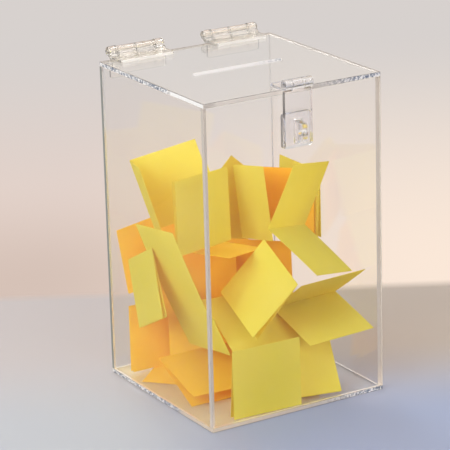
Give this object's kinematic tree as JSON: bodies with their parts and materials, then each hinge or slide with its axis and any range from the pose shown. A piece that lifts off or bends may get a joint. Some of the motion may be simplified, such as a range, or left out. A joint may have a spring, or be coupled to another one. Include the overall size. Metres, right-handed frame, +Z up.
{
  "type": "ballot box",
  "caption": "Tall clear box with a hinged lid, a long slot through the lid, a slotted strap that hangs over a holed staple for a padlock, and a heap of folded yellow ballots inside.",
  "frame": {"origin": "centre of the base's underside, on the surface that the box stands on", "axes": "+X to the right as seen from the front, -Y the front with the hasp, +Y the back with the hinges, +Z up"},
  "size_m": [0.216, 0.2498, 0.3683],
  "materials": {
    "clear_acrylic": "polished",
    "warm_acrylic": "polished",
    "cool_acrylic": "polished",
    "yellow_paper": "matte"
  },
  "bodies": {
    "box": {"base_panel": "clear_acrylic", "front_panel": "clear_acrylic", "back_panel": "clear_acrylic", "left_panel": "clear_acrylic", "right_panel": "clear_acrylic", "left_hinge_box_leaf": "warm_acrylic", "right_hinge_box_leaf": "warm_acrylic", "left_hinge_pin": "warm_acrylic", "right_hinge_pin": "warm_acrylic", "hasp_staple": "cool_acrylic", "ballot_01": "yellow_paper", "ballot_02": "yellow_paper", "ballot_03": "yellow_paper", "ballot_04": "yellow_paper", "ballot_05": "yellow_paper", "ballot_06": "yellow_paper", "ballot_07": "yellow_paper", "ballot_08": "yellow_paper", "ballot_09": "yellow_paper", "ballot_10": "yellow_paper", "ballot_11": "yellow_paper", "ballot_12": "yellow_paper", "ballot_13": "yellow_paper", "ballot_14": "yellow_paper", "ballot_15": "yellow_paper", "ballot_16": "yellow_paper", "ballot_17": "yellow_paper", "ballot_18": "yellow_paper", "ballot_19": "yellow_paper", "ballot_20": "yellow_paper", "ballot_21": "yellow_paper", "ballot_22": "yellow_paper", "ballot_23": "yellow_paper"},
    "lid": {"lid_panel": "clear_acrylic", "left_hinge_lid_leaf": "warm_acrylic", "right_hinge_lid_leaf": "warm_acrylic", "hasp_lid_leaf": "cool_acrylic", "hasp_pin": "cool_acrylic"},
    "hasp_strap": {"hasp_strap": "cool_acrylic"}
  },
  "joints": [
    {"name": "lid_hinge", "type": "hinge", "parent": "box", "child": "lid", "pos_m": [0, 0.1155, 0.3631], "axis": [-1, 0, 0], "range_deg": [0, 270]},
    {"name": "hasp_swing", "type": "hinge", "parent": "lid", "child": "hasp_strap", "pos_m": [0, -0.115, 0.362], "axis": [-1, 0, 0], "range_deg": [0, 270]}
  ]
}
